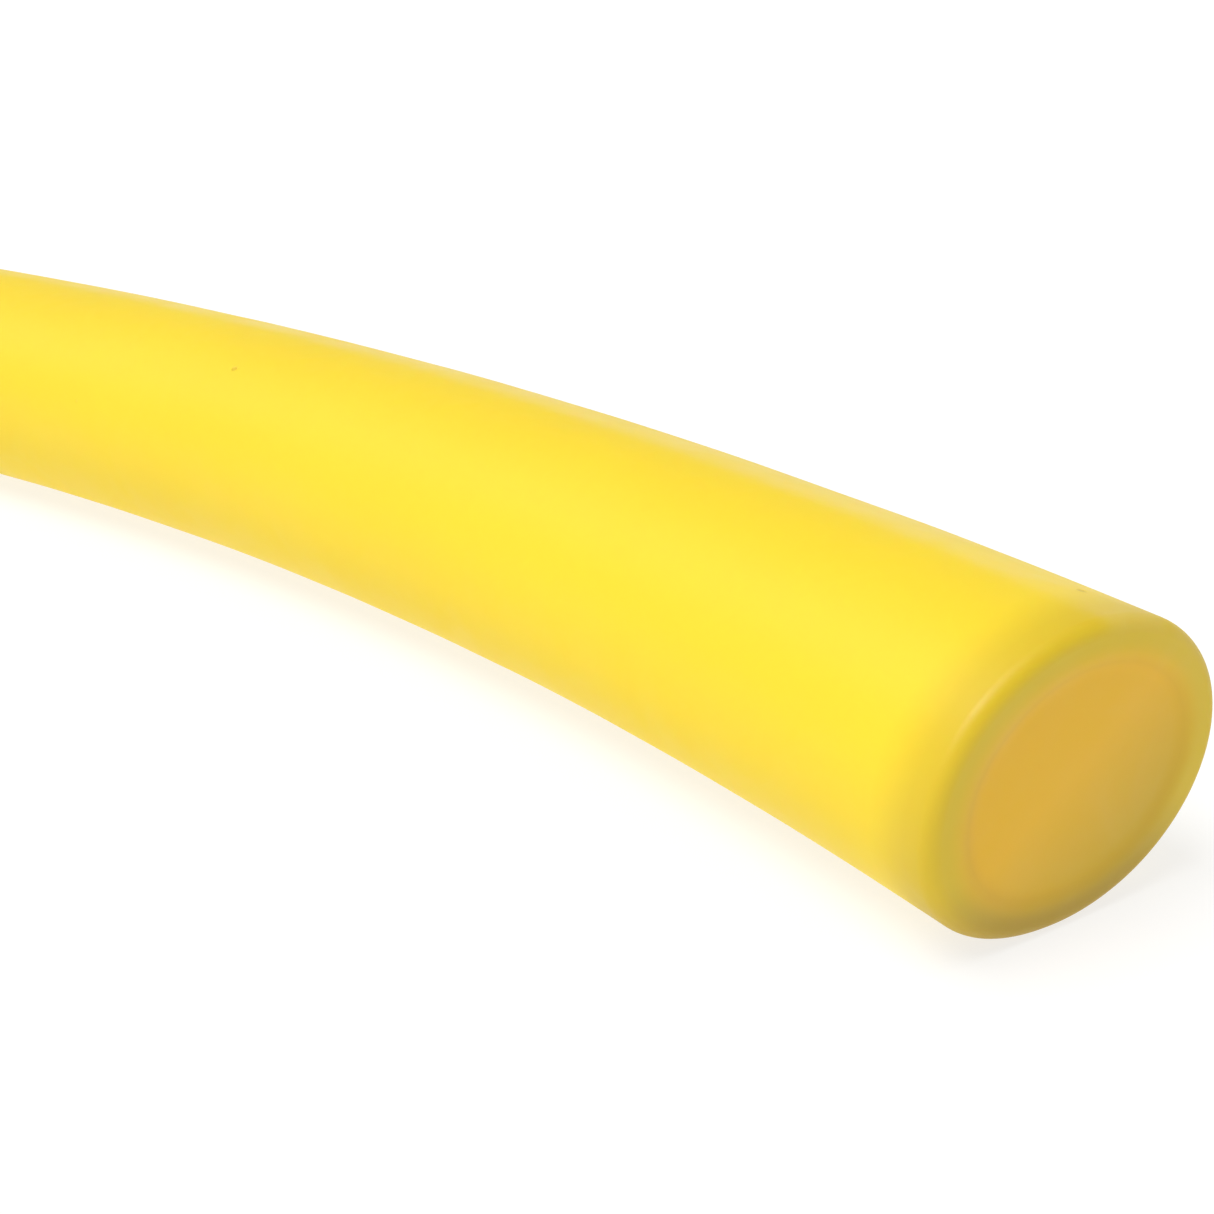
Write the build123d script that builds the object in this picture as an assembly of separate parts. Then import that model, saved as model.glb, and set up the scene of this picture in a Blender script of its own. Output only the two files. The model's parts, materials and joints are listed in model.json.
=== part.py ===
from build123d import *
import math
import os

# Rescue tube: a bent foam float in a dipped vinyl coat. A strap is laminated along its core, comes out of one
# end, and is folded round a D-ring for the tow line. The other end is plain.
#
# Millimetres, +Z up. The tube lies on the floor, bent in the floor's plane about a centre on its -Y side, so its
# hollow side faces -Y. The plain end is at +X and the tow end at -X. The origin is the middle of the whole
# object's footprint, on the floor.

# The coated tube
TUBE_WIDTH = 140.0  # across, in the plane of the bend
TUBE_HEIGHT = 115.0
TUBE_LENGTH = 1270.0  # along the middle of the tube, from end face to end face
BEND_RADIUS = 1600.0  # to the middle of the tube
RIM_RADIUS = 9.0  # rounding of both ends
RECESS_DEPTH = 1.5  # of the plain end's sunken middle
RECESS_MARGIN = 15.0  # from the tube's side to the recess's wall
REST_DEPTH = 0.5  # how far the underside settles flat on the floor
SKIN = 1.0  # wall of the vinyl coat

# The strap and its thread
STRAP_WIDTH = 50.0
STRAP_THICKNESS = 1.8  # one ply
HEM_LENGTH = 60.0  # the doubled stretch inside, by the plain end
HEM_INSET = 45.0  # from the plain end's face to the hem's fold
STITCH_LENGTH = 3.2
STITCH_PITCH = 4.2
STITCH_MARGIN = 4.0  # from an edge of the strap to a row of stitches
THREAD_WIDTH = 0.8
THREAD_DEPTH = 0.4  # sunk flush into the strap
HEM_ROWS = 3

# The vinyl lip where the strap leaves the tube
LIP_HEIGHT = 3.0
LIP_WALL = 2.5
STUB = 0.6  # how far the inner strap shows past the lip

# The tow tab: the strap outside the tube, folded round the ring
FOLD_GAP = 0.05  # between the inner strap's end and the tab's rounded root
ROOT_LENGTH = 10.0  # single ply, from the fold line to the doubled part
DOUBLE_LENGTH = 54.0  # the sewn part
EYE_LENGTH = 16.0  # from the sewn part to the ring's bar
EYE_GAP = 0.1  # round the bar

# The D-ring
RING_WIRE = 5.5  # diameter
RING_SIDE_GAP = 0.6  # beyond each edge of the strap, before the wire starts to bend
RING_CORNER = 4.8  # bend at each end of the bar, to the middle of the wire
RING_SHANK = 4.0  # straight side between a corner and the arch

# Worked out from the sizes above
STRAP_HALF = STRAP_THICKNESS / 2
MID_HEIGHT = TUBE_HEIGHT / 2 - REST_DEPTH  # of the tube's middle, above the floor
TUBE_ANGLE = math.degrees(TUBE_LENGTH / BEND_RADIUS)
FOLD_X = LIP_HEIGHT + STUB + FOLD_GAP + STRAP_HALF  # the fold line, from the tow end's face
DOUBLE_X = FOLD_X + ROOT_LENGTH
SEWN_X = DOUBLE_X + DOUBLE_LENGTH
BAR_X = SEWN_X + EYE_LENGTH
RING_SIDE = STRAP_WIDTH / 2 + RING_SIDE_GAP + RING_CORNER  # from the bar's middle to a side's middle


def bend_angle(length):
    """Degrees of the bend that a length along the middle of the tube takes."""
    return math.degrees(length / BEND_RADIUS)


def end_frame(turn, outward):
    """A frame on the tube's middle line, turned from +Y about the bend's centre: x out of the tube, z up."""
    radial = math.radians(90 - turn)
    origin = (BEND_RADIUS * math.cos(radial), BEND_RADIUS * (math.sin(radial) - 1), MID_HEIGHT)
    along = (outward * math.sin(radial), -outward * math.cos(radial), 0)
    return Plane(origin=origin, x_dir=along, z_dir=(0, 0, 1))


PLAIN_END = end_frame(TUBE_ANGLE / 2, 1)
TOW_END = end_frame(-TUBE_ANGLE / 2, -1)
BEND_AXIS = Axis((0, -BEND_RADIUS, 0), (0, 0, 1))


def section_plane(inset):
    """The tube's cross-section plane, inset along the tube from the plain end: x away from the bend, y up."""
    frame = end_frame(TUBE_ANGLE / 2 - bend_angle(inset), 1)
    return Plane(origin=frame.origin, x_dir=frame.y_dir, z_dir=frame.x_dir)


def swept(sketch, inset, length):
    """A flat section carried round the bend for a length, starting at an inset from the plain end."""
    return revolve(section_plane(inset) * sketch, BEND_AXIS, bend_angle(length))


def rounded_tube(inset):
    """The tube's outer form, taken in on every side, with both ends rounded and the plain end sunk."""
    section = Ellipse(TUBE_WIDTH / 2 - inset, TUBE_HEIGHT / 2 - inset)
    tube = swept(section, inset, TUBE_LENGTH - 2 * inset)
    ends = tube.faces().filter_by(GeomType.PLANE)
    margin = RECESS_MARGIN - inset
    mouth = Ellipse(TUBE_WIDTH / 2 - margin, TUBE_HEIGHT / 2 - margin)
    sunk = extrude(section_plane(inset) * mouth, RECESS_DEPTH, both=True)
    return fillet(ends.edges(), RIM_RADIUS - inset) - sunk


def strap_section(side_step):
    """One ply of strap on edge, stepped sideways from the middle of the tube."""
    return Pos(side_step, 0) * Rectangle(STRAP_THICKNESS, STRAP_WIDTH)


def stitch():
    """One stitch lying on a strap's face, along x, sunk by its whole depth in y."""
    return Box(STITCH_LENGTH, THREAD_DEPTH, THREAD_WIDTH, align=(Align.CENTER, Align.MAX, Align.CENTER))


def row_of_stitches(start, end, skip_middle=False):
    """Places for stitches along a line in a strap's face, from (x, z) to (x, z)."""
    span = math.dist(start, end)
    count = max(1, int((span - STITCH_LENGTH) // STITCH_PITCH) + 1)
    turn = -math.degrees(math.atan2(end[1] - start[1], end[0] - start[0]))
    first = (span - (count - 1) * STITCH_PITCH) / 2
    places = []
    for i in range(count):
        along = first + i * STITCH_PITCH
        if skip_middle and abs(along - span / 2) < STITCH_LENGTH:
            continue
        share = along / span
        x = start[0] + (end[0] - start[0]) * share
        z = start[1] + (end[1] - start[1]) * share
        places.append(Pos(x, 0, z) * Rot(0, turn, 0))
    return places


def box_stitch():
    """Places for a box stitch with a cross in it, on the sewn part of the tab."""
    near, far = DOUBLE_X + STITCH_MARGIN, SEWN_X - STITCH_MARGIN
    edge = STRAP_WIDTH / 2 - STITCH_MARGIN
    clear = STITCH_PITCH  # keeps each row's ends off its neighbours
    places = []
    for z in (-edge, edge):
        places += row_of_stitches((near, z), (far, z))
    for x in (near, far):
        places += row_of_stitches((x, -edge + clear / 2), (x, edge - clear / 2))
    inner, outer, top = near + clear, far - clear, edge - clear
    places += row_of_stitches((inner, -top), (outer, top))
    places += row_of_stitches((inner, top), (outer, -top), skip_middle=True)
    return places


def on_both_faces(places, low, high):
    """Stitches at each place, flush with the faces at y = low and y = high."""
    upper = [Pos(0, high, 0) * place * stitch() for place in places]
    lower = [Pos(0, low, 0) * place * Rot(180, 0, 0) * stitch() for place in places]
    return upper + lower


def spine_webbing():
    """The strap inside the tube, its far end doubled, its near end just past the lip."""
    past_face = LIP_HEIGHT + STUB
    length = TUBE_LENGTH - HEM_INSET
    strap = swept(strap_section(0), HEM_INSET, length)
    hem = swept(strap_section(-STRAP_THICKNESS), HEM_INSET, HEM_LENGTH)
    way_out = Box(past_face, STRAP_THICKNESS, STRAP_WIDTH, align=(Align.MIN, Align.CENTER, Align.CENTER))
    return strap + hem + TOW_END * way_out


def spine_stitches():
    """Rows of stitches across the hem, each row in the frame of its own place on the bend."""
    edge = STRAP_WIDTH / 2 - STITCH_MARGIN
    places = row_of_stitches((0, -edge), (0, edge))
    step = (HEM_LENGTH - 2 * STITCH_MARGIN) / (HEM_ROWS - 1)
    stitches = []
    for i in range(HEM_ROWS):
        inset = HEM_INSET + STITCH_MARGIN + i * step
        frame = end_frame(TUBE_ANGLE / 2 - bend_angle(inset), 1)
        row = on_both_faces(places, -STRAP_THICKNESS - STRAP_HALF, STRAP_HALF)
        stitches += [frame * one for one in row]
    return stitches


def lip():
    """The bead of vinyl round the strap where it leaves the tow end."""
    wide, tall = STRAP_THICKNESS + 2 * LIP_WALL, STRAP_WIDTH + 2 * LIP_WALL
    reach = LIP_HEIGHT + SKIN
    bead = Pos(-SKIN, 0, 0) * Box(reach, wide, tall, align=(Align.MIN, Align.CENTER, Align.CENTER))
    bead = fillet(bead.edges().filter_by(Axis.X), LIP_WALL)
    return TOW_END * fillet(bead.faces().sort_by(Axis.X)[-1].edges(), LIP_WALL / 2)


def vinyl_skin(core, strap):
    """The dipped coat: the tube's form with its underside settled flat, less the foam and the strap."""
    reach = 2 * (TUBE_LENGTH + TUBE_WIDTH)
    floor = Box(reach, reach, TUBE_HEIGHT, align=(Align.CENTER, Align.CENTER, Align.MAX))
    return (rounded_tube(0) + lip()) - floor - core - strap


def foam_planks(core, strap):
    """The core cut along the middle of the bend into two planks, each relieved for the strap."""
    hollow_side = Pos(0, -BEND_RADIUS, 0) * Cylinder(BEND_RADIUS, 2 * TUBE_HEIGHT)
    return (core & hollow_side) - strap, core - hollow_side - strap


def tow_tab():
    """The strap outside the tube: single at the fold line, then doubled and sewn, then an eye for the bar."""
    root = Pos(FOLD_X, 0) * Circle(STRAP_HALF)
    single = Pos(FOLD_X, 0) * Rectangle(ROOT_LENGTH + DOUBLE_LENGTH, STRAP_THICKNESS, align=(Align.MIN, Align.CENTER))
    doubled = Pos(DOUBLE_X, -STRAP_HALF) * Rectangle(DOUBLE_LENGTH, 2 * STRAP_THICKNESS, align=(Align.MIN, Align.MIN))
    hole = RING_WIRE / 2 + EYE_GAP
    outer = eye_outline(hole + STRAP_THICKNESS, STRAP_THICKNESS)
    inner = eye_outline(hole, THREAD_DEPTH / 2)
    profile = root + single + doubled + (outer - inner)
    return extrude(profile, STRAP_WIDTH / 2, both=True)


def eye_outline(radius, half_neck):
    """A teardrop round the bar that narrows to the sewn part."""
    neck = Pos(SEWN_X, STRAP_HALF) * Rectangle(2 * THREAD_DEPTH, 2 * half_neck)
    bulb = Pos(BAR_X, STRAP_HALF) * Circle(radius)
    return make_hull(neck.edges() + bulb.edges())


def tow_ring():
    """A D of round wire: a straight bar in the eye, two short sides and a round arch."""
    bar_half = RING_SIDE - RING_CORNER
    arch_x = RING_CORNER + RING_SHANK
    with BuildLine(Plane.XZ) as path:
        Line((0, -bar_half), (0, bar_half))
        CenterArc((RING_CORNER, bar_half), RING_CORNER, 90, 90)
        Line((RING_CORNER, RING_SIDE), (arch_x, RING_SIDE))
        CenterArc((arch_x, 0), RING_SIDE, -90, 180)
        Line((arch_x, -RING_SIDE), (RING_CORNER, -RING_SIDE))
        CenterArc((RING_CORNER, -bar_half), RING_CORNER, 180, 90)
    ring = sweep(Plane.XY * Circle(RING_WIRE / 2), path=path.wire())
    return Pos(BAR_X, STRAP_HALF, 0) * ring


def build_parts():
    """Every node, with the tube's middle over the frame's origin."""
    core = rounded_tube(SKIN)
    strap = spine_webbing()
    spine_thread = spine_stitches()
    tab_thread = on_both_faces(box_stitch(), -STRAP_HALF, STRAP_THICKNESS + STRAP_HALF)
    inner_plank, outer_plank = foam_planks(core, strap)
    return {
        "vinyl_skin": vinyl_skin(core, strap),
        "foam_plank_inner": inner_plank,
        "foam_plank_outer": outer_plank,
        "spine_webbing": strap - spine_thread,
        "spine_stitching": Compound(children=spine_thread),
        "tow_tab": TOW_END * (tow_tab() - tab_thread),
        "tab_stitching": TOW_END * Compound(children=tab_thread),
        "tow_ring": TOW_END * tow_ring(),
    }


def centred(parts):
    """The same nodes, moved so that the origin is the middle of the object's footprint."""
    whole = Compound(children=[Compound(part.wrapped) for part in parts.values()]).bounding_box()
    to_middle = Pos(-whole.center().X, -whole.center().Y, 0)
    return to_middle, {name: to_middle * part for name, part in parts.items()}


def main():
    os.makedirs("parts", exist_ok=True)
    _, parts = centred(build_parts())
    for name, part in parts.items():
        export_step(part, f"parts/{name}.step")


main()
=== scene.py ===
import json
import math

import bpy
from mathutils import Matrix, Vector, noise


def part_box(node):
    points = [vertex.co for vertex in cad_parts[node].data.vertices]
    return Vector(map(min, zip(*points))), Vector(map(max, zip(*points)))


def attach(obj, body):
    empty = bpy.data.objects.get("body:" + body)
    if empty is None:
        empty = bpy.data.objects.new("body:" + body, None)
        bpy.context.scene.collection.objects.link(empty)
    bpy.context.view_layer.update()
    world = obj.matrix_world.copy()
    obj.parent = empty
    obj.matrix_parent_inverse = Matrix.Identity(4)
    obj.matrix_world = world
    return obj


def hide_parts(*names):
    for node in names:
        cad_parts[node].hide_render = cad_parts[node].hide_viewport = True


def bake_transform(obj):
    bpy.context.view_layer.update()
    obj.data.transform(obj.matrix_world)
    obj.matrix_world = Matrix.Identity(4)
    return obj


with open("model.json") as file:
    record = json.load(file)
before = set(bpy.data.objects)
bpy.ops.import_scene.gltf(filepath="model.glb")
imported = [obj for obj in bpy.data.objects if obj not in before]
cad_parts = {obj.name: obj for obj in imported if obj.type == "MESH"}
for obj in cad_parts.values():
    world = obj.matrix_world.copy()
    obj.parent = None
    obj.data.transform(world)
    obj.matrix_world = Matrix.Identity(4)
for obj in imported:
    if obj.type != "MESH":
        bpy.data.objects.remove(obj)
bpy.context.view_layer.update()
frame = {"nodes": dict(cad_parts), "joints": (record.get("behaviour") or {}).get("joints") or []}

MM = 0.001

# The coated tube: the frame's sizes, and the finer ones that the drawn coat adds
TUBE_WIDTH = 140 * MM
TUBE_HEIGHT = 115 * MM
TUBE_LENGTH = 1270 * MM
BEND_RADIUS = 1600 * MM
RIM_RADIUS = 6 * MM
SLUMP = 2.2  # squareness of the lower hollow-side quarter; 2 is a plain oval
MIDDLE_HEIGHT = 57 * MM
RECESS = 1.5 * MM  # how far the plain end's middle is sunk
RECESS_EDGE = 0.90  # where the recess's wall starts and ends, as shares of the way out to the rim
RECESS_FLOOR = 0.74
DOME = 0.6 * MM  # how far the recess's floor bulges in its middle
DOME_EDGE = 0.85  # where that bulge starts, as the same share
WAVINESS = 0.35 * MM  # of the hand-cut foam under the coat
WAVE_SPAN = 90.9 * MM  # from one of its slow waves to the next
WELD = 0.02 * MM  # points closer than this are one

# The coat's colour, with its painted shade and painted highlight, and its finish
RIM_SHADE_SPREAD = 26 * MM  # how far the rims' painted shade spreads along the side
END_SHADE_EDGE = 0.98  # where the ends' painted shade starts and is full, as shares of the way out to the rim
END_SHADE_FULL = 0.78
CREST_LEAN = math.radians(14)  # of the pale line of painted highlight and dust, from the top, towards the outside of the bend
CREST_EDGE = 0.96  # where the line starts; 1 is its middle
SHADE_DOWN = 0.75  # the way that the ends' painted shade deepens, down and outwards
SHADE_OUTWARD = 0.7
SHADE_START = -0.1  # where along that way it starts to darken, and where it is darkest
SHADE_END = 0.85
UNDERSIDE = -0.3  # how low on the section the rims' painted shade starts to deepen; -1 is the bottom
RECESS_WALL_SHADE = 0.25  # strengths of the painted shade on the recess's wall and of the crest's painted highlight with dust
DUST_AND_HIGHLIGHT_COVER = 0.22
PINHOLE_SPACING = 50 * MM
PINHOLE_FLOOR = 0.8 * MM  # a pinhole's radius at its bottom, and at its mouth
PINHOLE_MOUTH = 2.2 * MM
PINHOLE_DEPTH = 0.6 * MM
# strength of the painted shade in the pinholes' pits
PINHOLE_SHADE = 0.28
PEEL_PITCH = 2.5 * MM
CELL_PITCH = 7 * MM

# The strap and the ring
STRAP_WIDTH = 50 * MM
STRAP_THICKNESS = 1.8 * MM
STRAP_EDGE = 0.7 * MM  # rounding of its woven edges
YARN_PITCH = 1.6 * MM  # from one warp yarn to the next
FLOAT_LENGTH = 3.0 * MM  # of a warp yarn's rise and fall
YARN_RISE = 0.16 * MM
CROWN_SHEEN = 0.6  # the crowns' share in how pale the weave is, as painted sheen
BAR_RADIUS = 2.75 * MM
EYE_GAP = 0.1 * MM  # between the bar and the strap round it
SEWN_LENGTH = 54 * MM
EYE_LENGTH = 16 * MM
ROOT_HIDDEN = 6 * MM  # how far the drawn strap starts inside the tube

# The thread
STITCH_PITCH = 4.2 * MM
STITCH_LENGTH = 3.4 * MM
STITCH_MARGIN = 4 * MM
THREAD_RADIUS = 0.42 * MM
THREAD_SUNK = 1.2  # how deep a stitch's ends lie and how high its arch is drawn, in thread radii
THREAD_ARCH = 1.4

# The lip round the strap
LIP_HEIGHT = 3 * MM
LIP_WALL = 2.5 * MM
LIP_FLARE = 2.4 * MM  # the hollow curve where the lip meets the end
LIP_ROOT = 0.6 * MM  # how far under the end's skin that curve starts
LIP_GAP = 0.02 * MM
LIP_CORNER = 0.4 * MM
LIP_LUMP = 6 * MM  # spacing of its unevenness, and how strong that is
LIP_UNEVEN = 0.10
LIP_END_SHADE = 0.75  # how much of the ends' painted shade it has

# The studio
FLOOR_SIZE = 60
FLOOR_GLOW = 0.73
WALL_TOP = 0.15  # heights at which the white walls start to dim and the ceiling is reached; 1 is overhead
CEILING_EDGE = 0.35
CEILING_GLOW = 0.40
KEY_STRENGTH = 2.35
KEY_SPREAD = math.radians(40)  # how wide the light looks
KEY_TURN = math.radians(-35)
KEY_TILT = math.radians(27)

# The view, its angles in degrees; the reach is from the floor, at the bend's centre in x and at 0 in y
CAMERA_REACH = Vector((0.740, -0.553, 0.311))
CAMERA_AZIMUTH = 32.5
CAMERA_ELEVATION = 22.5
CAMERA_ROLL = 1.9
CAMERA_LENS = 48.3
CAMERA_NEAREST = 10 * MM


# ---------------------------------------------------------------- helpers

def linear(code):
    """An sRGB hex colour as the linear values that a shader takes."""
    parts = [int(code[i:i + 2], 16) / 255 for i in (1, 3, 5)]
    return [c / 12.92 if c <= 0.04045 else ((c + 0.055) / 1.055) ** 2.4 for c in parts] + [1.0]


def add(tree, kind, inputs=None, **settings):
    """Adds a node with its settings; an input takes a value, or a link from a socket or a node's output."""
    node = tree.nodes.new(kind)
    for name, value in settings.items():
        setattr(node, name, value)
    for key, value in (inputs or {}).items():
        socket = node.inputs[key]
        if isinstance(value, bpy.types.Node):
            value = next(s for s in value.outputs if s.enabled)
        if isinstance(value, bpy.types.NodeSocket):
            tree.links.new(value, socket)
        else:
            socket.default_value = value
    return node


def new_tree(name, sockets):
    """A geometry tree with these named inputs, and its group input node."""
    tree = bpy.data.node_groups.new(name, "GeometryNodeTree")
    for label, kind in sockets.items():
        tree.interface.new_socket(name=label, in_out="INPUT", socket_type="NodeSocket" + kind)
    tree.interface.new_socket(name="Geometry", in_out="OUTPUT", socket_type="NodeSocketGeometry")
    return tree, tree.nodes.new("NodeGroupInput").outputs


def finish_tree(tree, geometry, material):
    """Ends a tree: instances made real, smooth shading, and the piece's material."""
    real = add(tree, "GeometryNodeRealizeInstances", {0: geometry})
    smooth = add(tree, "GeometryNodeSetShadeSmooth", {0: real})
    painted = add(tree, "GeometryNodeSetMaterial", {0: smooth, "Material": material})
    add(tree, "NodeGroupOutput", {0: painted})
    return tree


def grown(name, tree, sizes, start=None):
    """A plain mesh piece, made by a geometry tree with these sizes."""
    holder = link(bpy.data.objects.new(name + "_start", start or bpy.data.meshes.new(name)))
    modifier = holder.modifiers.new("tree", "NODES")
    modifier.node_group = tree
    for item in tree.interface.items_tree:
        if item.in_out == "INPUT" and item.name in sizes:
            modifier[item.identifier] = sizes[item.name]
    graph = bpy.context.evaluated_depsgraph_get()
    mesh = bpy.data.meshes.new_from_object(holder.evaluated_get(graph), depsgraph=graph)
    bpy.data.objects.remove(holder)
    return link(bpy.data.objects.new(name, mesh))


def link(obj):
    """Puts a new object in the scene."""
    bpy.context.scene.collection.objects.link(obj)
    return obj


def new_material(name):
    """A new material, its emptied tree and its Object coordinates."""
    material = bpy.data.materials.new(name)
    material.use_nodes = True
    tree = material.node_tree
    tree.nodes.clear()
    return material, tree, add(tree, "ShaderNodeTexCoord").outputs["Object"]


def dress(node, material):
    """Gives a carried-over CAD node its finished material."""
    slots = frame["nodes"][node].data.materials
    slots.clear()
    slots.append(material)


# ---------------------------------------------------------------- places taken from the frame

plank_low, plank_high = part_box("foam_plank_outer")
skin_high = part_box("vinyl_skin")[1]
BEND_CENTRE = Vector(((plank_low.x + plank_high.x) / 2, skin_high.y - TUBE_WIDTH / 2 - BEND_RADIUS, 0))
HALF_ANGLE = TUBE_LENGTH / BEND_RADIUS / 2

joints = {j["name"]: j for j in frame["joints"]}
BAR = Vector(joints["ring_swing"]["pos_m"])
OUT = Vector((-math.cos(HALF_ANGLE), -math.sin(HALF_ANGLE), 0))  # out of the tow end
SIDE = Vector((math.sin(HALF_ANGLE), -math.cos(HALF_ANGLE), 0))  # across the strap's thickness
TOW_FACE = BEND_CENTRE + BEND_RADIUS * Vector((-math.sin(HALF_ANGLE), math.cos(HALF_ANGLE), 0))
TOW_FACE.z = MIDDLE_HEIGHT
TOW_FRAME = Matrix.Translation(TOW_FACE) @ Matrix((OUT, SIDE, (0, 0, 1))).transposed().to_4x4()


# ---------------------------------------------------------------- materials

def dipped_vinyl():
    """Plastisol PVC, dipped and oven-cured over foam: satin, a little translucent, faintly orange-peeled."""
    material, tree, place = new_material("dipped_pvc_vinyl")
    mark = {name: add(tree, "ShaderNodeAttribute", attribute_name=name).outputs["Fac"]
            for name in ("painted_rim_shade", "painted_end_shade", "end_shade_low_outer", "crest_highlight_and_dust", "low", "well_wall")}
    # slow drift of shade, about 110 mm across, from uneven coat thickness
    drift = add(tree, "ShaderNodeTexNoise", {"Vector": place, "Scale": 1 / (111 * MM), "Detail": 2.0})
    body = add(tree, "ShaderNodeMix", {0: drift, 6: linear("#F4D51E"), 7: linear("#F1D01C")},
               data_type="RGBA")
    # painted shade on the cut ends, which face away from the light: a deeper ochre, browner low down and on
    # the outer side
    end_shade_colours = add(tree, "ShaderNodeMix", {0: mark["end_shade_low_outer"], 6: linear("#E9B608"), 7: linear("#CBA81A")},
                    data_type="RGBA")
    # painted shade on the recess's turned wall
    wall_shade = add(tree, "ShaderNodeMath", {0: mark["well_wall"], 1: RECESS_WALL_SHADE},
                     operation="MULTIPLY")
    end_shade = add(tree, "ShaderNodeMix", {0: wall_shade, 6: end_shade_colours.outputs[2], 7: linear("#C69A14")},
                    data_type="RGBA")
    # painted shade on the rims, where the rounded edge turns from the light: a deeper yellow than the body,
    # deepest low down
    rim_shade = add(tree, "ShaderNodeMix", {0: mark["low"], 6: linear("#D9BA1A"), 7: linear("#B1921C")},
                    data_type="RGBA")
    rimmed = add(tree, "ShaderNodeMix", {0: mark["painted_rim_shade"], 6: body.outputs[2], 7: rim_shade.outputs[2]},
                 data_type="RGBA")
    # a pale line along the crest: painted highlight with dust, in patches about 33 mm across
    patches = add(tree, "ShaderNodeTexNoise", {"Vector": place, "Scale": 1 / (33.3 * MM), "Detail": 4.0,
                                               "Roughness": 0.6})
    dust_and_highlight = add(tree, "ShaderNodeMath", {0: patches, 1: mark["crest_highlight_and_dust"]}, operation="MULTIPLY")
    dust_and_highlight_film = add(tree, "ShaderNodeMath", {0: dust_and_highlight, 1: DUST_AND_HIGHLIGHT_COVER}, operation="MULTIPLY")
    dusted_and_highlit = add(tree, "ShaderNodeMix", {0: dust_and_highlight_film, 6: rimmed.outputs[2], 7: linear("#FBF4E2")},
                data_type="RGBA")
    # painted shade on both cut ends, laid over the side's colour
    skin = add(tree, "ShaderNodeMix", {0: mark["painted_end_shade"], 6: dusted_and_highlit.outputs[2], 7: end_shade.outputs[2]},
               data_type="RGBA")
    # sparse pinholes, about 3 mm across, where air escaped from the foam as the coat cured, with painted
    # shade in their pits
    holes = add(tree, "ShaderNodeTexVoronoi", {"Vector": place, "Scale": 1 / PINHOLE_SPACING})
    pit = add(tree, "ShaderNodeMapRange", {
        "Value": holes, "From Min": PINHOLE_FLOOR / PINHOLE_SPACING,
        "From Max": PINHOLE_MOUTH / PINHOLE_SPACING, "To Min": 1.0, "To Max": 0.0},
        interpolation_type="SMOOTHSTEP")
    pit_shade = add(tree, "ShaderNodeMath", {0: pit, 1: PINHOLE_SHADE}, operation="MULTIPLY")
    colour = add(tree, "ShaderNodeMix", {0: pit_shade, 6: skin.outputs[2], 7: linear("#A88A10")},
                 data_type="RGBA")
    # orange peel, and the foam's cells showing through, drawn coarse enough to be seen
    peel = add(tree, "ShaderNodeTexNoise", {"Vector": place, "Scale": 1 / PEEL_PITCH, "Detail": 1.0})
    cells = add(tree, "ShaderNodeTexVoronoi", {"Vector": place, "Scale": 1 / CELL_PITCH}, feature="SMOOTH_F1")
    peel_bump = add(tree, "ShaderNodeBump", {"Height": peel, "Strength": 0.12, "Distance": 0.15 * MM})
    cell_bump = add(tree, "ShaderNodeBump", {"Height": cells, "Normal": peel_bump, "Strength": 0.10,
                                             "Distance": 0.4 * MM})
    sunk = add(tree, "ShaderNodeBump", {"Height": pit, "Normal": cell_bump, "Strength": 0.8,
                                        "Distance": -PINHOLE_DEPTH})
    # scuffs in the gloss from handling, in ragged patches about 38 mm across
    rub = add(tree, "ShaderNodeTexNoise", {"Vector": place, "Scale": 1 / (38.5 * MM), "Detail": 5.0,
                                           "Roughness": 0.62, "Distortion": 0.6})
    rough = add(tree, "ShaderNodeMapRange", {"Value": rub, "From Min": 0.35, "From Max": 0.7, "To Min": 0.47,
                                             "To Max": 0.60})
    shader = add(tree, "ShaderNodeBsdfPrincipled", {
        "Base Color": colour.outputs[2], "Roughness": rough, "IOR": 1.53, "Specular IOR Level": 0.45,
        "Normal": sunk, "Subsurface Weight": 0.25, "Subsurface Radius": (1.0, 0.55, 0.08),
        "Subsurface Scale": 4 * MM})
    add(tree, "ShaderNodeOutputMaterial", {"Surface": shader})
    return material


def closed_cell_foam():
    """NBR and PVC foam plank: dull, with fine closed cells 1.2 mm across."""
    material, tree, place = new_material("closed_cell_foam")
    cells = add(tree, "ShaderNodeTexVoronoi", {"Vector": place, "Scale": 1 / (1.2 * MM)})
    colour = add(tree, "ShaderNodeMix", {0: cells, 6: linear("#D9D2BE"), 7: linear("#EFEAD9")},
                 data_type="RGBA")
    bump = add(tree, "ShaderNodeBump", {"Height": cells, "Strength": 0.5, "Distance": 0.4 * MM})
    shader = add(tree, "ShaderNodeBsdfPrincipled", {"Base Color": colour.outputs[2], "Roughness": 0.85,
                                                    "Normal": bump})
    add(tree, "ShaderNodeOutputMaterial", {"Surface": shader})
    return material


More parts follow.
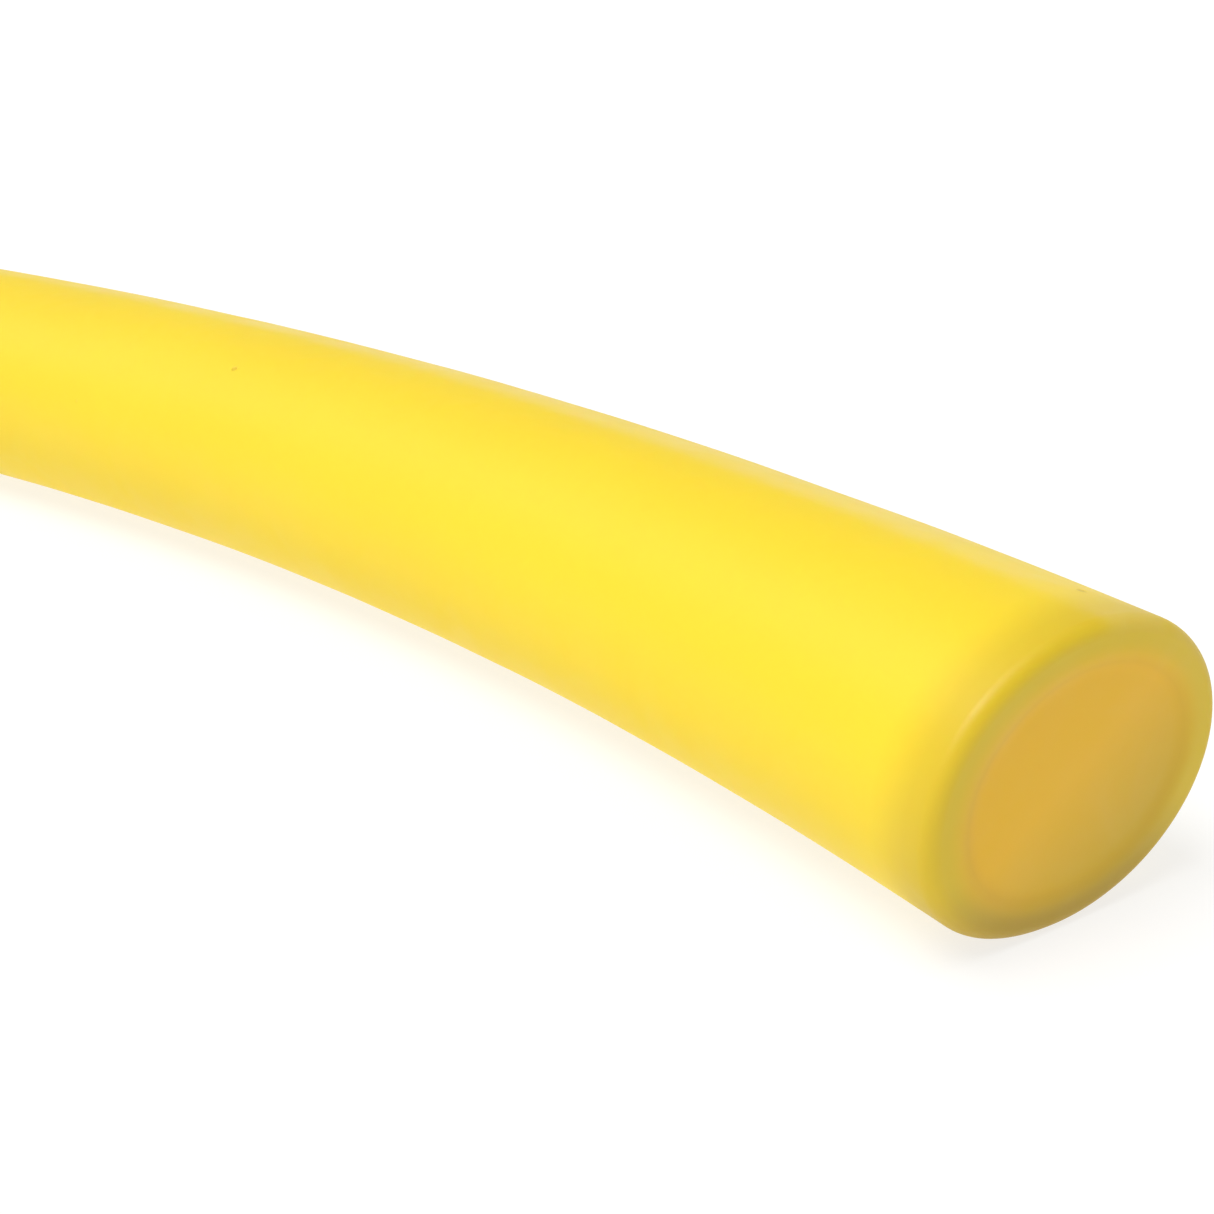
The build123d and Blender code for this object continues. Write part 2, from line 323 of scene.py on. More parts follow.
def woven_nylon(name, dark, light):
    """Nylon webbing and thread: warp yarns side by side across the width, with a soft sheen."""
    material, tree, place = new_material(name)
    # the texture's bands lie pi / 10 apart at a scale of 1
    weave = add(tree, "ShaderNodeTexWave", {"Vector": place, "Scale": math.pi / 10 / YARN_PITCH,
                                            "Distortion": 1.0}, bands_direction="Z")
    # the crowns of the drawn yarns are paler: painted sheen on the raised yarns
    crown = add(tree, "ShaderNodeAttribute", attribute_name="yarn").outputs["Fac"]
    crown_sheen = add(tree, "ShaderNodeMath", {0: crown, 1: CROWN_SHEEN}, operation="MULTIPLY")
    tone = add(tree, "ShaderNodeMath", {0: weave, 1: 1 - CROWN_SHEEN, 2: crown_sheen}, operation="MULTIPLY_ADD")
    colour = add(tree, "ShaderNodeMix", {0: tone, 6: linear(dark), 7: linear(light)}, data_type="RGBA")
    bump = add(tree, "ShaderNodeBump", {"Height": weave, "Strength": 0.4, "Distance": 0.3 * MM})
    shader = add(tree, "ShaderNodeBsdfPrincipled", {
        "Base Color": colour.outputs[2], "Roughness": 0.6, "Sheen Weight": 0.25, "Normal": bump})
    add(tree, "ShaderNodeOutputMaterial", {"Surface": shader})
    return material


def tumbled_stainless():
    """Stainless rod, tumbled after welding: bright, with fine marks every way, 1.5 mm across."""
    material, tree, place = new_material("tumbled_stainless_steel")
    marks = add(tree, "ShaderNodeTexNoise", {"Vector": place, "Scale": 1 / (1.5 * MM), "Detail": 6.0,
                                             "Roughness": 0.7})
    rough = add(tree, "ShaderNodeMapRange", {"Value": marks, "From Min": 0.3, "From Max": 0.7, "To Min": 0.16,
                                             "To Max": 0.34})
    bump = add(tree, "ShaderNodeBump", {"Height": marks, "Strength": 0.15, "Distance": 0.05 * MM})
    shader = add(tree, "ShaderNodeBsdfPrincipled", {
        "Base Color": linear("#C9CACC"), "Metallic": 1.0, "Roughness": rough, "Normal": bump})
    add(tree, "ShaderNodeOutputMaterial", {"Surface": shader})
    return material


# ---------------------------------------------------------------- the dipped coat

def signed_power(tree, value, power):
    """The value's size raised to the power, with the value's own sign."""
    sign = add(tree, "ShaderNodeMath", {0: value}, operation="SIGN")
    plain = add(tree, "ShaderNodeMath", {0: value}, operation="ABSOLUTE")
    raised = add(tree, "ShaderNodeMath", {0: plain, 1: power}, operation="POWER")
    return add(tree, "ShaderNodeMath", {0: raised, 1: sign}, operation="MULTIPLY")


def carried_round(tree, size, along, outward, height):
    """The place of a point this far along the tube, this far out from the bend's centre and this high."""
    bend_turn = add(tree, "ShaderNodeMath", {0: along, 1: size["Bend Radius"]}, operation="DIVIDE")
    half_length = add(tree, "ShaderNodeMath", {0: size["Length"], 1: 0.5}, operation="MULTIPLY")
    half_turn = add(tree, "ShaderNodeMath", {0: half_length, 1: size["Bend Radius"]}, operation="DIVIDE")
    angle = add(tree, "ShaderNodeMath", {0: half_turn, 1: bend_turn}, operation="SUBTRACT")
    angle_sin = add(tree, "ShaderNodeMath", {0: angle}, operation="SINE")
    angle_cos = add(tree, "ShaderNodeMath", {0: angle}, operation="COSINE")
    x = add(tree, "ShaderNodeMath", {0: outward, 1: angle_sin}, operation="MULTIPLY")
    y = add(tree, "ShaderNodeMath", {0: outward, 1: angle_cos}, operation="MULTIPLY")
    bent = add(tree, "ShaderNodeCombineXYZ", {0: x, 1: y, 2: height})
    return add(tree, "ShaderNodeVectorMath", {0: bent, 1: size["Bend Centre"]}, operation="ADD")


def coat_marks(tree, size, side, share, missing, level, upright, well):
    """What the vinyl reads at each point of the coat, by name."""
    # the rims' painted shade, spreading a little way along the side, and the painted shade of the flats
    near_end = add(tree, "ShaderNodeMath", {0: side, 1: 0.5}, operation="PINGPONG")
    spread = add(tree, "ShaderNodeMath", {0: size["Rim Shade Spread"], 1: size["Length"]}, operation="DIVIDE")
    painted_rim_shade = add(tree, "ShaderNodeMapRange", {"Value": near_end, "From Min": spread, "From Max": 0.0},
                   interpolation_type="SMOOTHSTEP")
    painted_end_shade = add(tree, "ShaderNodeMapRange", {"Value": share, "From Min": END_SHADE_EDGE,
                                                 "From Max": END_SHADE_FULL}, interpolation_type="SMOOTHSTEP")
    # painted shade on the ends, darkest low down and on the outer side
    shade_across = add(tree, "ShaderNodeMath", {0: level, 1: SHADE_OUTWARD}, operation="MULTIPLY")
    shade_way = add(tree, "ShaderNodeMath", {0: upright, 1: -SHADE_DOWN, 2: shade_across}, operation="MULTIPLY_ADD")
    shade_reach = add(tree, "ShaderNodeMath", {0: shade_way, 1: share}, operation="MULTIPLY")
    end_shade_low_outer = add(tree, "ShaderNodeMapRange", {"Value": shade_reach, "From Min": SHADE_START, "From Max": SHADE_END})
    # the crest of the side, a little towards the outside: a pale line of painted highlight with dust
    leaning = add(tree, "ShaderNodeMath", {0: level, 1: math.sin(CREST_LEAN)}, operation="MULTIPLY")
    topmost = add(tree, "ShaderNodeMath", {0: upright, 1: math.cos(CREST_LEAN), 2: leaning},
                  operation="MULTIPLY_ADD")
    on_crest = add(tree, "ShaderNodeMapRange", {"Value": topmost, "From Min": CREST_EDGE, "From Max": 1.0},
                   interpolation_type="SMOOTHSTEP")
    off_ends = add(tree, "ShaderNodeMath", {0: 1.0, 1: missing}, operation="SUBTRACT")
    crest_highlight_and_dust = add(tree, "ShaderNodeMath", {0: on_crest, 1: off_ends}, operation="MULTIPLY")
    # the underside, where the rims' painted shade deepens towards the bottom
    low = add(tree, "ShaderNodeMapRange", {"Value": upright, "From Min": UNDERSIDE, "From Max": -1.0},
              interpolation_type="SMOOTHSTEP")
    # the turned wall of the sunken middle, which gets painted shade
    wall = add(tree, "ShaderNodeMath", {0: well, 1: 0.5}, operation="SUBTRACT")
    wall_near = add(tree, "ShaderNodeMath", {0: wall}, operation="ABSOLUTE")
    on_wall = add(tree, "ShaderNodeMapRange", {"Value": wall_near, "From Min": 0.5, "From Max": 0.0})
    return {"painted_rim_shade": painted_rim_shade, "painted_end_shade": painted_end_shade, "end_shade_low_outer": end_shade_low_outer, "crest_highlight_and_dust": crest_highlight_and_dust, "low": low,
            "well_wall": on_wall}


def hand_cut(tree, size, tube):
    """The foam's slow waves under the coat, all pressed inwards, and the flat on which the tube lies."""
    wave_scale = add(tree, "ShaderNodeMath", {0: 1.0, 1: size["Wave Span"]}, operation="DIVIDE")
    waves = add(tree, "ShaderNodeTexNoise", {"Scale": wave_scale, "Detail": 1.5})
    swell = add(tree, "ShaderNodeMapRange", {"Value": waves, "From Min": 0.3, "From Max": 0.7, "To Min": -1.0,
                                             "To Max": 0.0})
    push = add(tree, "ShaderNodeMath", {0: swell, 1: size["Waviness"]}, operation="MULTIPLY")
    lift = add(tree, "ShaderNodeVectorMath", {0: add(tree, "GeometryNodeInputNormal"), "Scale": push},
               operation="SCALE")
    wavy = add(tree, "GeometryNodeSetPosition", {0: tube, "Offset": lift})
    now = add(tree, "ShaderNodeSeparateXYZ", {0: add(tree, "GeometryNodeInputPosition")})
    settled = add(tree, "ShaderNodeMath", {0: now.outputs[2], 1: 0.0}, operation="MAXIMUM")
    resting = add(tree, "ShaderNodeCombineXYZ", {0: now.outputs[0], 1: now.outputs[1], 2: settled})
    return add(tree, "GeometryNodeSetPosition", {0: wavy, "Position": resting})


def coat_tree():
    """A bent oval tube: rings of points from one end's middle, along the tube, to the other end's middle."""
    tree, size = new_tree("dipped_tube", {
        "Width": "Float", "Height": "Float", "Length": "Float", "Bend Radius": "Float", "Rim Radius": "Float",
        "Slump": "Float", "Middle Height": "Float", "Recess": "Float", "Dome": "Float", "Waviness": "Float",
        "Wave Span": "Float", "Rim Shade Spread": "Float", "Bend Centre": "Vector", "Around": "Int",
        "Face Rings": "Int", "Rim Rings": "Int", "Side Rings": "Int", "Material": "Material"})
    # ring numbers at which each stretch ends
    face_end = size["Face Rings"]
    rim_end = add(tree, "ShaderNodeMath", {0: face_end, 1: size["Rim Rings"]}, operation="ADD")
    side_end = add(tree, "ShaderNodeMath", {0: rim_end, 1: size["Side Rings"]}, operation="ADD")
    far_rim_end = add(tree, "ShaderNodeMath", {0: side_end, 1: size["Rim Rings"]}, operation="ADD")
    last = add(tree, "ShaderNodeMath", {0: far_rim_end, 1: face_end}, operation="ADD")
    rings = add(tree, "ShaderNodeMath", {0: last, 1: 1.0}, operation="ADD")
    seams = add(tree, "ShaderNodeMath", {0: size["Around"], 1: 1.0}, operation="ADD")
    grid = add(tree, "GeometryNodeMeshGrid", {"Size X": 1.0, "Size Y": 1.0, "Vertices X": rings,
                                              "Vertices Y": seams})
    spot = add(tree, "ShaderNodeSeparateXYZ", {0: add(tree, "GeometryNodeInputPosition")})
    ring = add(tree, "ShaderNodeMapRange", {"Value": spot.outputs[0], "From Min": -0.5, "From Max": 0.5,
                                            "To Min": 0.0, "To Max": last})
    turn = add(tree, "ShaderNodeMapRange", {"Value": spot.outputs[1], "From Min": -0.5, "From Max": 0.5,
                                            "To Min": 0.0, "To Max": math.tau})
    # how far along each stretch a ring lies
    stretches = (("plain_face", 0.0, face_end, 0.0, 1.0), ("plain_rim", face_end, rim_end, 0.0, math.pi / 2),
                 ("side", rim_end, side_end, 0.0, 1.0), ("tow_rim", side_end, far_rim_end, 0.0, math.pi / 2),
                 ("tow_face", far_rim_end, last, 1.0, 0.0))
    part = {name: add(tree, "ShaderNodeMapRange", {"Value": ring, "From Min": low, "From Max": high,
                                                   "To Min": start, "To Max": stop})
            for name, low, high, start, stop in stretches}
    # the ring's inset from the tube's side where the rims round off, and its share of the oval on the ends
    plain_sin = add(tree, "ShaderNodeMath", {0: part["plain_rim"]}, operation="SINE")
    plain_cos = add(tree, "ShaderNodeMath", {0: part["plain_rim"]}, operation="COSINE")
    tow_sin = add(tree, "ShaderNodeMath", {0: part["tow_rim"]}, operation="SINE")
    tow_cos = add(tree, "ShaderNodeMath", {0: part["tow_rim"]}, operation="COSINE")
    both = add(tree, "ShaderNodeMath", {0: plain_sin, 1: tow_cos}, operation="ADD")
    missing = add(tree, "ShaderNodeMath", {0: 2.0, 1: both}, operation="SUBTRACT")
    inset = add(tree, "ShaderNodeMath", {0: missing, 1: size["Rim Radius"]}, operation="MULTIPLY")
    share = add(tree, "ShaderNodeMath", {0: part["plain_face"], 1: part["tow_face"]}, operation="MULTIPLY")
    # the ring's place along the tube
    straight = add(tree, "ShaderNodeMath", {0: size["Rim Radius"], 1: -2.0, 2: size["Length"]},
                   operation="MULTIPLY_ADD")
    rolled = add(tree, "ShaderNodeMath", {0: tow_sin, 1: plain_cos}, operation="SUBTRACT")
    rolled_on = add(tree, "ShaderNodeMath", {0: rolled, 1: 1.0}, operation="ADD")
    rim_part = add(tree, "ShaderNodeMath", {0: rolled_on, 1: size["Rim Radius"]}, operation="MULTIPLY")
    along = add(tree, "ShaderNodeMath", {0: part["side"], 1: straight, 2: rim_part}, operation="MULTIPLY_ADD")
    # the plain end's sunken middle, and the slight bulge of its floor
    well = add(tree, "ShaderNodeMapRange", {"Value": part["plain_face"], "From Min": RECESS_EDGE,
                                            "From Max": RECESS_FLOOR}, interpolation_type="SMOOTHSTEP")
    along = add(tree, "ShaderNodeMath", {0: well, 1: size["Recess"], 2: along}, operation="MULTIPLY_ADD")
    crown = add(tree, "ShaderNodeMapRange", {"Value": part["plain_face"], "From Min": DOME_EDGE,
                                             "From Max": 0.0}, interpolation_type="SMOOTHSTEP")
    bulge = add(tree, "ShaderNodeMath", {0: crown, 1: size["Dome"]}, operation="MULTIPLY")
    along = add(tree, "ShaderNodeMath", {0: along, 1: bulge}, operation="SUBTRACT")
    # the oval ring
    half = {}
    for side in ("Width", "Height"):
        reach = add(tree, "ShaderNodeMath", {0: size[side], 1: 0.5}, operation="MULTIPLY")
        taken_in = add(tree, "ShaderNodeMath", {0: reach, 1: inset}, operation="SUBTRACT")
        half[side] = add(tree, "ShaderNodeMath", {0: taken_in, 1: share}, operation="MULTIPLY")
    round_level = add(tree, "ShaderNodeMath", {0: turn}, operation="COSINE")
    round_upright = add(tree, "ShaderNodeMath", {0: turn}, operation="SINE")
    # the foam has slumped a little squarer in the quarter that is low and on the hollow side
    is_hollow_side = add(tree, "ShaderNodeMath", {0: round_level, 1: 0.0}, operation="LESS_THAN")
    is_low = add(tree, "ShaderNodeMath", {0: round_upright, 1: 0.0}, operation="LESS_THAN")
    slumped = add(tree, "ShaderNodeMath", {0: is_hollow_side, 1: is_low}, operation="MULTIPLY")
    power = add(tree, "ShaderNodeMix", {0: slumped, 2: 1.0, 3: add(
        tree, "ShaderNodeMath", {0: 2.0, 1: size["Slump"]}, operation="DIVIDE")}, data_type="FLOAT")
    level, upright = (signed_power(tree, value, power) for value in (round_level, round_upright))
    outward = add(tree, "ShaderNodeMath", {0: half["Width"], 1: level, 2: size["Bend Radius"]},
                  operation="MULTIPLY_ADD")
    height = add(tree, "ShaderNodeMath", {0: half["Height"], 1: upright, 2: size["Middle Height"]},
                 operation="MULTIPLY_ADD")
    placed = carried_round(tree, size, along, outward, height)
    marked = grid
    marks = coat_marks(tree, size, part["side"], share, missing, round_level, round_upright, well)
    for name, value in marks.items():
        marked = add(tree, "GeometryNodeStoreNamedAttribute", {0: marked, "Name": name, "Value": value},
                     data_type="FLOAT", domain="POINT")
    tube = add(tree, "GeometryNodeSetPosition", {0: marked, "Position": placed})
    closed = add(tree, "GeometryNodeMergeByDistance", {0: tube, "Distance": WELD})
    return finish_tree(tree, hand_cut(tree, size, closed), size["Material"])


def dipped_coat(vinyl):
    """The coat's outer surface, in place of the CAD's skin."""
    coat = grown("dipped_vinyl_coat", coat_tree(), {
        "Width": TUBE_WIDTH, "Height": TUBE_HEIGHT, "Length": TUBE_LENGTH, "Bend Radius": BEND_RADIUS,
        "Rim Radius": RIM_RADIUS, "Slump": SLUMP, "Middle Height": MIDDLE_HEIGHT, "Recess": RECESS,
        "Dome": DOME, "Waviness": WAVINESS, "Wave Span": WAVE_SPAN, "Rim Shade Spread": RIM_SHADE_SPREAD,
        "Bend Centre": BEND_CENTRE, "Around": 144, "Face Rings": 32, "Rim Rings": 14, "Side Rings": 220,
        "Material": vinyl})
    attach(coat, "tube")
    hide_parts("vinyl_skin")


# ---------------------------------------------------------------- the lip, the strap and its stitches

def rounded_oblong(half_long, half_thick, corner, count):
    """Points round an upright oblong with rounded corners, as (thickness, height) pairs."""
    per_corner = count // 4
    points = []
    for quarter, (side, up) in enumerate(((1, 1), (-1, 1), (-1, -1), (1, -1))):
        for i in range(per_corner):
            turn = (quarter + i / (per_corner - 1)) * math.pi / 2
            points.append((side * (half_thick - corner) + corner * math.cos(turn),
                           up * (half_long - corner) + corner * math.sin(turn)))
    return points


def lip_profile():
    """Pairs of (offset from the strap, height), from the flare on the end, over the bead, to the strap."""
    steps = 8
    pairs = []
    for i in range(steps + 1):
        turn = i / steps * math.pi / 2
        pairs.append((LIP_WALL + LIP_FLARE * (1 - math.sin(turn)),
                      LIP_FLARE * (1 - math.cos(turn)) - LIP_ROOT))
    bead = LIP_WALL / 2
    for i in range(1, 2 * steps):
        turn = i / (2 * steps) * math.pi
        pairs.append((bead + bead * math.cos(turn), LIP_HEIGHT - bead + bead * math.sin(turn)))
    pairs.append((LIP_GAP, 0.0))
    return pairs


def vinyl_lip(vinyl):
    """The bead that the dip leaves round the strap, running out on the end in a hollow curve."""
    rows = []
    for offset, height in lip_profile():
        half_long, half_thick = STRAP_WIDTH / 2 + offset, STRAP_THICKNESS / 2 + offset
        corner = min(offset + LIP_CORNER, half_thick * 0.98)  # just short of a half-round end
        row = []
        for a, b in rounded_oblong(half_long, half_thick, corner, 96):
            lump = noise.noise(Vector((a, b, height)) / LIP_LUMP)
            row.append(TOW_FRAME @ Vector((height * (1 + LIP_UNEVEN * lump), a, b)))
        rows.append(row)
    # the last row joins the first again, under the end's skin, so the bead is a closed solid
    count = len(rows[0])
    faces = []
    for r in range(len(rows)):
        here, above = r * count, (r + 1) % len(rows) * count
        for i in range(count):
            after = (i + 1) % count
            faces.append((here + i, here + after, above + after, above + i))
    mesh = bpy.data.meshes.new("vinyl_lip")
    mesh.from_pydata([p for row in rows for p in row], [], faces)
    mesh.shade_smooth()
    mesh.materials.append(vinyl)
    # it has the ends' painted shade, as the tow end has
    lip_end_shade_layer = mesh.attributes.new("painted_end_shade", "FLOAT", "POINT")
    lip_end_shade_layer.data.foreach_set("value", [LIP_END_SHADE] * len(mesh.vertices))
    lip = link(bpy.data.objects.new("vinyl_lip", mesh))
    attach(lip, "tube")


def poly_curve(name, lines):
    """A curve of straight-sided lines, each a list of points in the tow end's frame."""
    curve = bpy.data.curves.new(name, "CURVE")
    curve.dimensions = "3D"
    for line in lines:
        spline = curve.splines.new("POLY")
        spline.points.add(len(line) - 1)
        for point, place in zip(spline.points, line):
            point.co = (*(TOW_FRAME @ Vector(place)), 1.0)
    return curve


def strap_path():
    """The middle of the strap: out of the tube, round the bar, and back along itself to its cut end."""
    bar_x = (BAR - TOW_FACE).dot(OUT)
    neck_x = bar_x - EYE_LENGTH
    bar_y = STRAP_THICKNESS / 2
    round_bar = BAR_RADIUS + EYE_GAP + STRAP_THICKNESS / 2
    slope = math.atan2(bar_y, EYE_LENGTH) - math.asin(round_bar / math.hypot(bar_y, EYE_LENGTH))
    start_turn = slope - math.pi / 2
    steps = 24
    path = [(-ROOT_HIDDEN, 0, 0), (neck_x, 0, 0)]
    for i in range(steps + 1):
        turn = start_turn * (1 - 2 * i / steps)
        path.append((bar_x + round_bar * math.cos(turn), bar_y + round_bar * math.sin(turn), 0))
    return path + [(neck_x, STRAP_THICKNESS, 0), (neck_x - SEWN_LENGTH, STRAP_THICKNESS, 0)]


def strap_tree():
    """Webbing along a path: a flat band with rounded edges, its warp yarns rising and falling in turn."""
    tree, size = new_tree("woven_strap", {
        "Path": "Geometry", "Width": "Float", "Thickness": "Float", "Edge": "Float", "Yarn Pitch": "Float",
        "Float Length": "Float", "Yarn Rise": "Float", "Step Along": "Float", "Points Around": "Int",
        "Material": "Material"})
    path = add(tree, "GeometryNodeResampleCurve", {"Curve": size["Path"], "Length": size["Step Along"]},
               mode="LENGTH")
    upright = add(tree, "GeometryNodeSetCurveNormal", {"Curve": path}, mode="Z_UP")
    distance = add(tree, "GeometryNodeSplineParameter").outputs["Length"]
    measured = add(tree, "GeometryNodeStoreNamedAttribute", {0: upright, "Name": "along", "Value": distance},
                   data_type="FLOAT", domain="POINT")
    oblong = add(tree, "GeometryNodeCurvePrimitiveQuadrilateral", {"Width": size["Thickness"],
                                                                   "Height": size["Width"]})
    rounded = add(tree, "GeometryNodeFilletCurve", {"Curve": oblong, "Count": 3, "Radius": size["Edge"]},
                  mode="POLY")
    profile = add(tree, "GeometryNodeResampleCurve", {"Curve": rounded, "Count": size["Points Around"]},
                  mode="COUNT")
    band = add(tree, "GeometryNodeCurveToMesh", {"Curve": measured, "Profile Curve": profile,
                                                 "Fill Caps": True})
    along = add(tree, "GeometryNodeInputNamedAttribute", {"Name": "along"}, data_type="FLOAT")
    across = add(tree, "ShaderNodeSeparateXYZ", {0: add(tree, "GeometryNodeInputPosition")}).outputs[2]
    # each yarn rises and falls over a float, half a float after its neighbour, and is round across its width
    yarn = add(tree, "ShaderNodeMath", {0: across, 1: size["Yarn Pitch"]}, operation="DIVIDE")
    number = add(tree, "ShaderNodeMath", {0: yarn}, operation="FLOOR")
    half_float = add(tree, "ShaderNodeMath", {0: number, 1: 0.5}, operation="MULTIPLY")
    floats = add(tree, "ShaderNodeMath", {0: along, 1: size["Float Length"]}, operation="DIVIDE")
    phase = add(tree, "ShaderNodeMath", {0: floats, 1: half_float}, operation="ADD")
    rise_turn = add(tree, "ShaderNodeMath", {0: phase, 1: math.tau}, operation="MULTIPLY")
    rise = add(tree, "ShaderNodeMath", {0: rise_turn}, operation="COSINE")
    high = add(tree, "ShaderNodeMath", {0: rise, 1: 0.5, 2: 0.5}, operation="MULTIPLY_ADD")
    yarn_turn = add(tree, "ShaderNodeMath", {0: yarn, 1: math.pi}, operation="MULTIPLY")
    hump = add(tree, "ShaderNodeMath", {0: yarn_turn}, operation="SINE")
    round_yarn = add(tree, "ShaderNodeMath", {0: hump}, operation="ABSOLUTE")
    height = add(tree, "ShaderNodeMath", {0: high, 1: round_yarn}, operation="MULTIPLY")
    sunk = add(tree, "ShaderNodeMath", {0: height, 1: 1.0}, operation="SUBTRACT")
    push = add(tree, "ShaderNodeMath", {0: sunk, 1: size["Yarn Rise"]}, operation="MULTIPLY")
    marked = add(tree, "GeometryNodeStoreNamedAttribute", {0: band, "Name": "yarn", "Value": height},
                 data_type="FLOAT", domain="POINT")
    lift = add(tree, "ShaderNodeVectorMath", {0: add(tree, "GeometryNodeInputNormal"), "Scale": push},
               operation="SCALE")
    woven = add(tree, "GeometryNodeSetPosition", {0: marked, "Offset": lift})
    return finish_tree(tree, woven, size["Material"])


def tow_strap(webbing):
    """The strap outside the tube, drawn folded round the bar, in place of the CAD's tab."""
    strap = grown("tow_strap", strap_tree(), {
        "Width": STRAP_WIDTH, "Thickness": STRAP_THICKNESS, "Edge": STRAP_EDGE, "Yarn Pitch": YARN_PITCH,
        "Float Length": FLOAT_LENGTH, "Yarn Rise": YARN_RISE, "Step Along": FLOAT_LENGTH / 5,
        "Points Around": 256, "Material": webbing}, poly_curve("strap_path", [strap_path()]))
    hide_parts("tow_tab")
    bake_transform(strap)


def stitch_lines():
    """The box stitch with its cross, as lines on both faces of the sewn part."""
    bar_x = (BAR - TOW_FACE).dot(OUT)
    far = bar_x - EYE_LENGTH - STITCH_MARGIN
    near = bar_x - EYE_LENGTH - SEWN_LENGTH + STITCH_MARGIN
    edge = STRAP_WIDTH / 2 - STITCH_MARGIN
    corners = [(near, -edge), (far, -edge), (far, edge), (near, edge)]
    ends = [(corners[i], corners[(i + 1) % 4]) for i in range(4)]
    ends += [(corners[0], corners[2]), (corners[1], corners[3])]
    lines = []
    for face in (-STRAP_THICKNESS / 2, 1.5 * STRAP_THICKNESS):
        for (x0, z0), (x1, z1) in ends:
            lines.append([(x0, face, z0), (x1, face, z1)])
    return lines


def stitch_tree():
    """Thread along lines: a short arched stitch at each pitch, its ends sunk in the strap."""
    tree, size = new_tree("row_of_stitches", {
        "Lines": "Geometry", "Pitch": "Float", "Length": "Float", "Thread Radius": "Float", "Up": "Vector",
        "Material": "Material"})
    points = add(tree, "GeometryNodeCurveToPoints", {"Curve": size["Lines"], "Length": size["Pitch"]},
                 mode="LENGTH")
    half = add(tree, "ShaderNodeMath", {0: size["Length"], 1: 0.5}, operation="MULTIPLY")
    back = add(tree, "ShaderNodeMath", {0: size["Length"], 1: -0.5}, operation="MULTIPLY")
    sunk = add(tree, "ShaderNodeMath", {0: size["Thread Radius"], 1: -THREAD_SUNK}, operation="MULTIPLY")
    top = add(tree, "ShaderNodeMath", {0: size["Thread Radius"], 1: THREAD_ARCH}, operation="MULTIPLY")
    start = add(tree, "ShaderNodeCombineXYZ", {0: back, 2: sunk})
    middle = add(tree, "ShaderNodeCombineXYZ", {2: top})
    end = add(tree, "ShaderNodeCombineXYZ", {0: half, 2: sunk})
    arch = add(tree, "GeometryNodeCurveQuadraticBezier", {"Resolution": 7, "Start": start, "Middle": middle,
                                                          "End": end})
    thread = add(tree, "GeometryNodeCurvePrimitiveCircle", {"Resolution": 8, "Radius": size["Thread Radius"]},
                 mode="RADIUS")
    stitch = add(tree, "GeometryNodeCurveToMesh", {"Curve": arch, "Profile Curve": thread, "Fill Caps": True})
    across = add(tree, "FunctionNodeAxesToRotation", {"Primary Axis": points.outputs["Tangent"],
                                                      "Secondary Axis": size["Up"]},
                 primary_axis="X", secondary_axis="Z")
    row = add(tree, "GeometryNodeInstanceOnPoints", {"Points": points, "Instance": stitch,
                                                     "Rotation": across})
    return finish_tree(tree, row, size["Material"])


def tab_stitches(thread):
    """The box stitch's thread, as one piece on each face of the sewn part."""
    tree = stitch_tree()
    lines = stitch_lines()
    per_face = len(lines) // 2
    faces = (("tab_stitches_inner", lines[:per_face], -1), ("tab_stitches_outer", lines[per_face:], 1))
    for name, rows, up in faces:
        stitches = grown(name, tree, {
            "Pitch": STITCH_PITCH, "Length": STITCH_LENGTH, "Thread Radius": THREAD_RADIUS, "Up": up * SIDE,
            "Material": thread}, poly_curve(name, rows))
        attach(stitches, "tow_tab")
        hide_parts("tab_stitching")


# ---------------------------------------------------------------- the studio

def studio_floor():
    """A pale floor with a glow of its own, so that it comes out as white as the walls."""
    bpy.ops.mesh.primitive_plane_add(size=FLOOR_SIZE)
    floor = bpy.context.object
    floor.name = "floor"
    material, tree, place = new_material("pale_floor")
    tone = add(tree, "ShaderNodeTexNoise", {"Vector": place, "Scale": 1 / (500 * MM)})
    colour = add(tree, "ShaderNodeMix", {0: tone, 6: linear("#8E8E8D"), 7: linear("#939392")},
                 data_type="RGBA")
    shader = add(tree, "ShaderNodeBsdfPrincipled", {
        "Base Color": colour.outputs[2], "Roughness": 0.9, "Emission Color": linear("#FFFFFF"),
        "Emission Strength": FLOOR_GLOW})
    add(tree, "ShaderNodeOutputMaterial", {"Surface": shader})
    floor.data.materials.append(material)


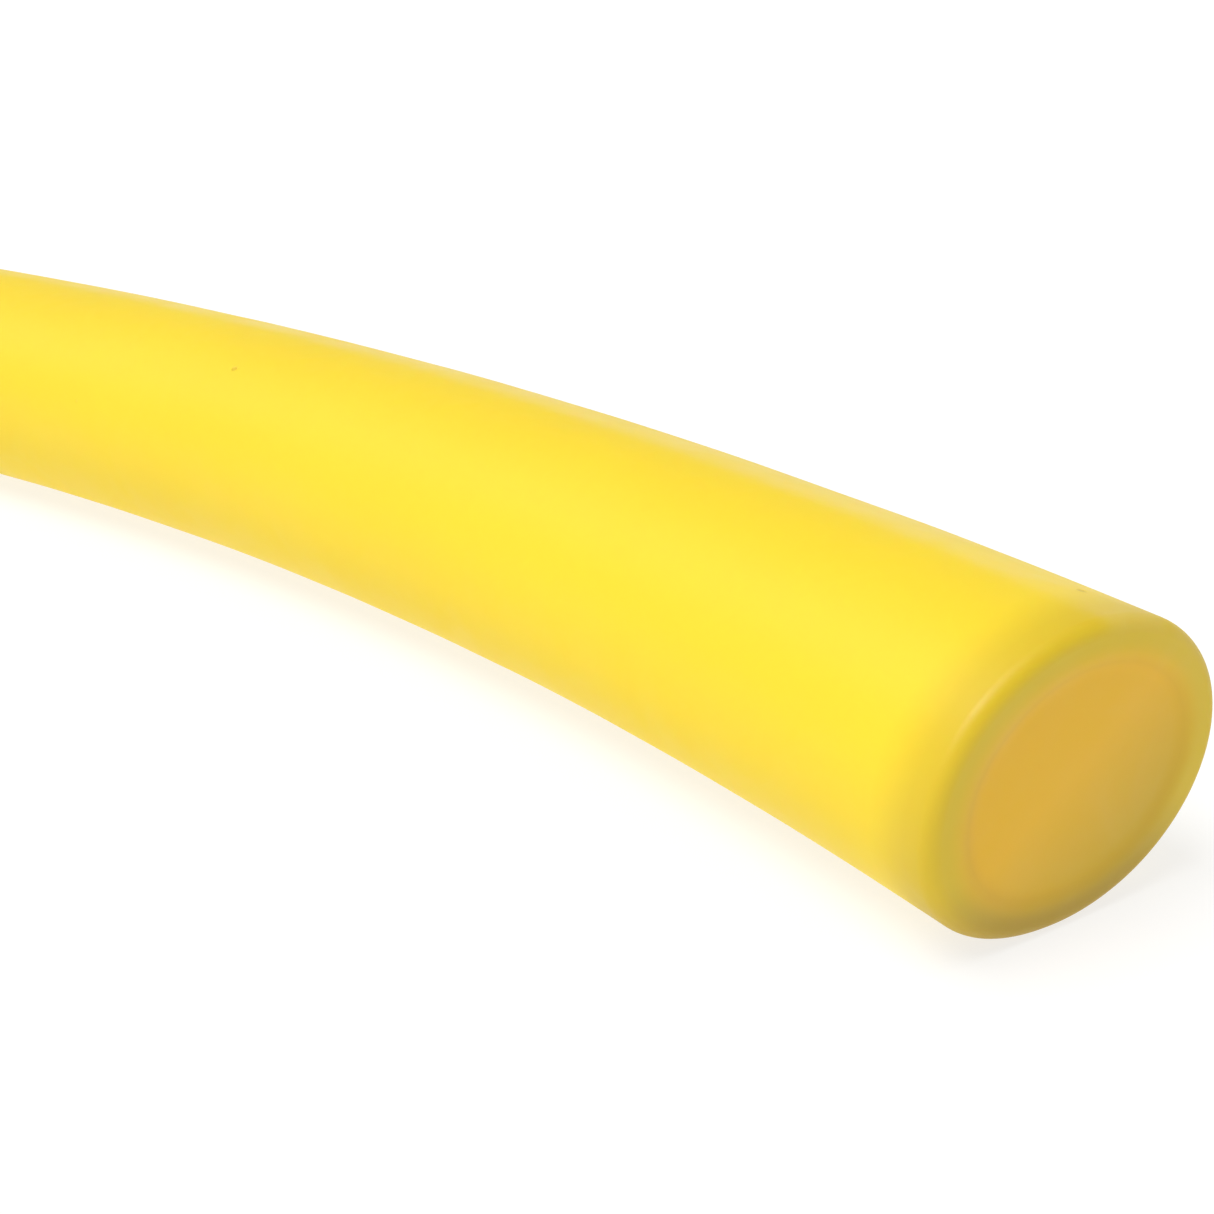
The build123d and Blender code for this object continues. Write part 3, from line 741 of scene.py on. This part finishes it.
def studio_walls():
    """White walls near the floor and a dimmer ceiling."""
    world = bpy.data.worlds.new("white_surround")
    world.use_nodes = True
    sky = world.node_tree
    sky.nodes.clear()
    heading = add(sky, "ShaderNodeSeparateXYZ", {0: add(sky, "ShaderNodeTexCoord").outputs["Generated"]})
    glow = add(sky, "ShaderNodeMapRange", {"Value": heading.outputs[2], "From Min": WALL_TOP,
                                           "From Max": CEILING_EDGE, "To Min": 1.0, "To Max": CEILING_GLOW},
               interpolation_type="SMOOTHSTEP")
    walls = add(sky, "ShaderNodeBackground", {"Color": linear("#FFFFFF"), "Strength": glow})
    add(sky, "ShaderNodeOutputWorld", {"Surface": walls})
    bpy.context.scene.world = world


def studio_key():
    """A broad key light, high on the hollow side and towards the tow end."""
    key = link(bpy.data.objects.new("key", bpy.data.lights.new("key", "SUN")))
    key.data.energy = KEY_STRENGTH
    key.data.angle = KEY_SPREAD
    key.rotation_euler = (Matrix.Rotation(KEY_TURN, 4, "Z") @ Matrix.Rotation(KEY_TILT, 4, "X")).to_euler()


def studio_camera():
    """The camera, beyond the plain end and on the hollow side, looking back along the tube."""
    camera = link(bpy.data.objects.new("camera", bpy.data.cameras.new("camera")))
    camera.data.lens = CAMERA_LENS
    camera.data.clip_start = CAMERA_NEAREST
    look = Matrix.Rotation(math.radians(CAMERA_AZIMUTH), 4, "Z") @ Matrix.Rotation(
        math.radians(90 - CAMERA_ELEVATION), 4, "X") @ Matrix.Rotation(math.radians(CAMERA_ROLL), 4, "Z")
    camera.matrix_world = Matrix.Translation(Vector((BEND_CENTRE.x, 0, 0)) + CAMERA_REACH) @ look
    bpy.context.scene.camera = camera
    bpy.context.scene.view_settings.view_transform = "Standard"


vinyl = dipped_vinyl()
foam = closed_cell_foam()
webbing = woven_nylon("woven_nylon_webbing", "#101114", "#2A2C31")
thread = woven_nylon("bonded_nylon_thread", "#C9C7BE", "#F2F0E8")
steel = tumbled_stainless()

dipped_coat(vinyl)
dress("foam_plank_inner", foam)
dress("foam_plank_outer", foam)
dress("spine_webbing", webbing)
dress("spine_stitching", thread)
vinyl_lip(vinyl)
tow_strap(webbing)
tab_stitches(thread)
dress("tow_ring", steel)
studio_floor()
studio_walls()
studio_key()
studio_camera()
